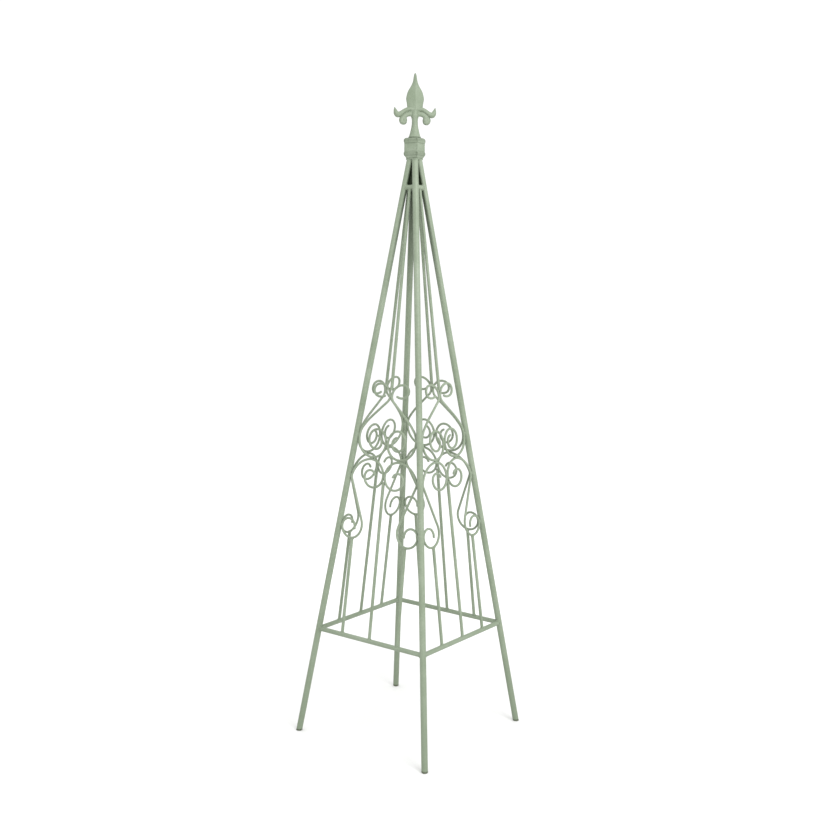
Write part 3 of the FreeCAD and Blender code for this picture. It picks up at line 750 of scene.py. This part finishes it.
def make_finial():
    """Stem, limbs and petal as overlapping closed shells, melted into one casting."""
    across, along = Vector((1, 0, 0)), Vector((0, 1, 0))
    shells = [[circle(Vector((0, 0, up)), across, along, radius, STEM_SIDES) for up, radius in STEM_STATIONS]]
    shells.append([petal_section(*row) for row in smooth_stations(PETAL_STATIONS)])
    for sign in SIDES.values():
        shells.append(limb_rings(ARM_STATIONS, sign))
        shells.append(limb_rings(HOOK_STATIONS, sign))
        shells.append(boss_rings(sign))
    place = turned_up(COLLAR_TOP, FINIAL_TURN)
    shape = bmesh.new()
    for rings in shells:
        add_skin(shape, [[place @ point for point in ring] for ring in rings])
    finial = finish_mesh("finial_casting", shape, CASTING)
    melt = finial.modifiers.new("melt", "REMESH")
    melt.mode = "VOXEL"
    melt.voxel_size = VOXEL_MM * MM
    melt.use_smooth_shade = True
    soften = finial.modifiers.new("soften", "SMOOTH")
    soften.factor = 0.5
    soften.iterations = SMOOTHING_ROUNDS
    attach(finial, "root")
    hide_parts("finial")


# ---------------------------------------------------------------- weld beads

BEAD_SIDES = 10
BEAD_STEPS = 56
SHORT_BEAD_STEPS = 18
SHORT_BEAD_END = 0.15
# The ripple of a hand-run weld, and its unevenness, as shares of the bead's radius.
RIPPLE_MM = 1.7
RIPPLE = 0.10
UNEVENNESS = 0.22
UNEVENNESS_RATE = 0.35
RAIL_BEAD = 1.7
ROD_BEAD = 1.3
# The ring of weld round a rod's free end, from the end and in from the rod's surface.
END_SETBACK = 1.0
END_INSET = 0.6
GROOVE_BEAD = 1.5
GROOVE_LENGTH = 9
GROOVE_OUT = 2.2
# The bead between two leg tops: from and to, below the leg tops, and how far outwards.
LEG_TOP_BEAD = (5, 0.5)
LEG_TOP_BEAD_OUT = 1.5
CONTACT_SLACK = 0.7


def meeting_curve(inside, heading, radius, other_point, other_heading, other_radius):
    """Closed curve where a round bar, followed along heading, runs into another round bar."""
    first = heading.orthogonal().normalized()
    second = heading.cross(first)
    across = heading - other_heading * heading.dot(other_heading)
    points = []
    for index in range(BEAD_STEPS):
        angle = 2 * math.pi * index / BEAD_STEPS
        skin = inside + (first * math.cos(angle) + second * math.sin(angle)) * radius
        gap = skin - other_point
        gap = gap - other_heading * gap.dot(other_heading)
        slope = gap.dot(across)
        room = slope ** 2 - across.length_squared * (gap.length_squared - other_radius ** 2)
        travel = (-slope - math.sqrt(max(room, 0.0))) / across.length_squared
        points.append(skin + heading * travel)
    return points


def bead_radius(point, along, base):
    """A bead's radius at a point that far along it."""
    ripple = RIPPLE * math.sin(2 * math.pi * along / RIPPLE_MM)
    return base * (1 + ripple + UNEVENNESS * noise.noise(point * UNEVENNESS_RATE))


def add_loop_bead(shape, points, base):
    frames = cross_frames(points, closed=True)
    rings = []
    along = 0.0
    for index, (point, (first, second)) in enumerate(zip(points, frames)):
        rings.append(circle(point, first, second, bead_radius(point, along, base), BEAD_SIDES))
        along += (points[(index + 1) % len(points)] - point).length
    add_skin(shape, rings, closed=True)


def add_short_bead(shape, start, end, base):
    """A bead that swells from nothing and dies away again, for a groove between two bars."""
    steps = SHORT_BEAD_STEPS
    points = [start.lerp(end, step / steps) for step in range(steps + 1)]
    first, second = cross_frames(points)[0]
    rings = []
    for step, point in enumerate(points):
        share = math.sqrt(math.sin(math.pi * (step + 0.5) / (steps + 1)))
        swell = SHORT_BEAD_END + (1 - SHORT_BEAD_END) * share
        radius = bead_radius(point, (point - start).length, base) * swell
        rings.append(circle(point, first, second, radius, BEAD_SIDES))
    add_skin(shape, rings)


def nearest_dips(points, distance, limit):
    """Indices where a distance along a path dips to a local minimum below a limit."""
    values = [distance(point) for point in points]
    dips = []
    for index in range(2, len(values) - 2):
        lowest = values[index] < values[index - 1] and values[index] <= values[index + 1]
        if lowest and values[index] < limit:
            dips.append(index)
    return dips


def add_groove_pair(shape, matrix, contact, heading):
    """Beads on the outer and inner side of a place where two bars touch along their length."""
    for out in (1, -1):
        middle = contact + Vector((0, 0, out * GROOVE_OUT))
        half = heading * (GROOVE_LENGTH / 2)
        add_short_bead(shape, matrix @ (middle - half), matrix @ (middle + half), GROOVE_BEAD)


def add_wire_welds(shape, face, side):
    """Welds of one half's two wires: to the leg, to their twins and to each other."""
    matrix = face_matrix(face)
    sign = SIDES[side]
    leg_foot = Vector((sign * BASE_HALF, 0, 0))
    leg_heading = (Vector((sign * TOP_HALF, up_the_face(LEG_TOP), 0)) - leg_foot).normalized()

    def from_leg(point):
        gap = point - leg_foot
        return (gap - leg_heading * gap.dot(leg_heading)).length

    for scroll in SCROLL_PAIR:
        points = wire_points(scroll, face, side)
        for index in nearest_dips(points, from_leg, LEG_RADIUS + WIRE_RADIUS + CONTACT_SLACK):
            gap = points[index] - leg_foot
            axis_point = leg_foot + leg_heading * gap.dot(leg_heading)
            towards = (points[index] - axis_point).normalized()
            add_groove_pair(shape, matrix, axis_point + towards * LEG_RADIUS, leg_heading)
        if side == "left":
            continue
        for index in nearest_dips(points, lambda point: abs(point.x), WIRE_RADIUS + CONTACT_SLACK):
            add_groove_pair(shape, matrix, Vector((0, points[index].y, 0)), Vector((0, 1, 0)))
    meeting = SCROLL_MEETING + lift(face, side)
    points = wire_points("upper", face, side)
    for index in nearest_dips(points, lambda point: abs(point.y - meeting), WIRE_RADIUS + CONTACT_SLACK):
        add_groove_pair(shape, matrix, Vector((points[index].x, meeting, 0)), Vector((1, 0, 0)))


def add_bar_end(shape, start, end, radius, other_point, other_end, other_radius, base):
    heading = (end - start).normalized()
    other_heading = (other_end - other_point).normalized()
    curve = meeting_curve(start.lerp(end, 0.5), heading, radius, other_point, other_heading, other_radius)
    add_loop_bead(shape, curve, base)


def add_rod_welds(shape, face):
    """Welds at both ends of the upright rods."""
    matrix = face_matrix(face)
    rail_up = up_the_face(RAIL_HEIGHT)
    brace_up = up_the_face(BRACE_HEIGHT)

    def spot(across, up):
        return matrix @ Vector((across, up, 0))

    rail = (spot(0, rail_up), spot(1, rail_up))
    brace = (spot(0, brace_up), spot(1, brace_up))
    middle_top = spot(0, MIDDLE_ROD_TOP + middle_lift(face))
    add_bar_end(shape, middle_top, spot(0, rail_up), ROD_RADIUS, *rail, RAIL_RADIUS, ROD_BEAD)
    long_foot = spot(0, LONG_ROD_FOOT + middle_lift(face))
    add_bar_end(shape, long_foot, spot(0, brace_up), ROD_RADIUS, *brace, BRACE_RADIUS, ROD_BEAD)
    up = (spot(0, 1) - spot(0, 0)).normalized()
    first = (spot(1, 0) - spot(0, 0)).normalized()
    for end, back in ((middle_top, -1), (long_foot, 1)):
        centre = end + up * back * END_SETBACK
        ring = circle(centre, first, up.cross(first), ROD_RADIUS - END_INSET, BEAD_STEPS)
        add_loop_bead(shape, ring, ROD_BEAD)
    for side, sign in SIDES.items():
        foot = spot(sign * SIDE_ROD_FOOT_OFFSET, rail_up)
        top_up = RAISED_SIDE_ROD_TOP if (face, side) in RAISED_HALVES else SIDE_ROD_TOP
        top_plane = Vector((sign * SIDE_ROD_TOP_OFFSET, top_up, 0))
        top = matrix @ top_plane
        add_bar_end(shape, top, foot, ROD_RADIUS, *rail, RAIL_RADIUS, ROD_BEAD)
        wire = wire_points("lower", face, side)
        nearest = min(range(1, len(wire) - 1), key=lambda index: (wire[index] - top_plane).length)
        wire_start = matrix @ wire[nearest - 1]
        wire_end = matrix @ wire[nearest + 1]
        add_bar_end(shape, foot, top, ROD_RADIUS, wire_start, wire_end, WIRE_RADIUS, ROD_BEAD)


def add_cross_bar_welds(shape, face):
    """Welds at both ends of the base rail and the top brace, and between the leg tops."""
    for height, radius in ((RAIL_HEIGHT, RAIL_RADIUS), (BRACE_HEIGHT, BRACE_RADIUS)):
        left, right = FACE_CORNERS[face]
        for start, end in ((left, right), (right, left)):
            add_bar_end(shape, leg_point(start, height), leg_point(end, height), radius,
                        leg_point(end, 0), leg_point(end, LEG_TOP), LEG_RADIUS, RAIL_BEAD)
    matrix = face_matrix(face)
    low, high = [matrix @ Vector((0, up_the_face(LEG_TOP) - below, LEG_TOP_BEAD_OUT))
                 for below in LEG_TOP_BEAD]
    add_short_bead(shape, low, high, GROOVE_BEAD)


def make_welds():
    for face in FACES:
        shape = bmesh.new()
        for side in SIDES:
            add_wire_welds(shape, face, side)
        add_rod_welds(shape, face)
        add_cross_bar_welds(shape, face)
        welds = finish_mesh("welds_" + face, shape, PAINT)
        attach(welds, "root")


# ---------------------------------------------------------------- carried-over CAD nodes

# The core between the leg tops gets the near-black painted shade.
NODE_FINISHES = {"finial_stud": STEEL, "top_core": CORE_SHADE}


def finish_cad_nodes():
    for name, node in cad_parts.items():
        finish = LEG_PAINT if name.startswith("leg_") else NODE_FINISHES.get(name, PAINT)
        node.data.materials.clear()
        node.data.materials.append(finish)


# ---------------------------------------------------------------- studio, in metres and watts

FLOOR_HALF = 14
AIM = (0, 0, 0.85)
WORLD_STRENGTH = 1.08
# (name, place, width, height, power)
SOFT_BOXES = [
    ("key_box", (3.4, -1.2, 3.0), 2.2, 2.6, 105),
    ("fill_box", (-3.2, -2.2, 2.2), 2.4, 2.6, 5),
    ("top_box", (0, 0, 4.2), 3.0, 3.0, 30),
]


def make_floor():
    mesh = bpy.data.meshes.new("studio_floor")
    corners = [(across * FLOOR_HALF, along * FLOOR_HALF, 0) for across, along in CORNERS.values()]
    mesh.from_pydata(corners, [], [(0, 1, 2, 3)])
    mesh.materials.append(floor_paper())
    floor = bpy.data.objects.new("studio_floor", mesh)
    bpy.context.scene.collection.objects.link(floor)


def soft_box(name, place, width, height, power):
    """A rectangular area light aimed at the obelisk's middle."""
    light = bpy.data.lights.new(name, "AREA")
    light.shape = "RECTANGLE"
    light.size = width
    light.size_y = height
    light.energy = power
    lamp = bpy.data.objects.new(name, light)
    lamp.location = Vector(place)
    lamp.rotation_euler = (Vector(AIM) - Vector(place)).to_track_quat("-Z", "Y").to_euler()
    bpy.context.scene.collection.objects.link(lamp)


def make_lights():
    for box in SOFT_BOXES:
        soft_box(*box)
    world = bpy.data.worlds.new("studio")
    world.use_nodes = True
    background = world.node_tree.nodes["Background"]
    background.inputs["Color"].default_value = (1, 1, 1, 1)
    background.inputs["Strength"].default_value = WORLD_STRENGTH
    bpy.context.scene.world = world
    bpy.context.scene.view_settings.view_transform = "Standard"


CAMERA_AZIMUTH = 37.265
CAMERA_ELEVATION = 6.991
CAMERA_ROLL = 0.5615
CAMERA_DISTANCE = 2.9233
CAMERA_LENS = 48.81
CAMERA_SHIFT = (0.00482, -0.00665)
SENSOR_WIDTH = 36
FARTHEST = 50


def make_camera():
    azimuth = math.radians(CAMERA_AZIMUTH)
    elevation = math.radians(CAMERA_ELEVATION)
    back = Vector((math.sin(azimuth) * math.cos(elevation),
                   -math.cos(azimuth) * math.cos(elevation),
                   math.sin(elevation)))
    data = bpy.data.cameras.new("camera")
    data.lens = CAMERA_LENS
    data.sensor_width = SENSOR_WIDTH
    data.shift_x, data.shift_y = CAMERA_SHIFT
    data.clip_end = FARTHEST
    camera = bpy.data.objects.new("camera", data)
    camera.location = Vector(AIM) + back * CAMERA_DISTANCE
    level = (-back).to_track_quat("-Z", "Y").to_matrix()
    rolled = level @ Matrix.Rotation(math.radians(CAMERA_ROLL), 3, "Z")
    camera.rotation_mode = "QUATERNION"
    camera.rotation_quaternion = rolled.to_quaternion()
    bpy.context.scene.collection.objects.link(camera)
    bpy.context.scene.camera = camera


make_scrolls()
make_foot_plugs()
make_collar()
make_finial()
make_welds()
finish_cad_nodes()
make_floor()
make_lights()
make_camera()
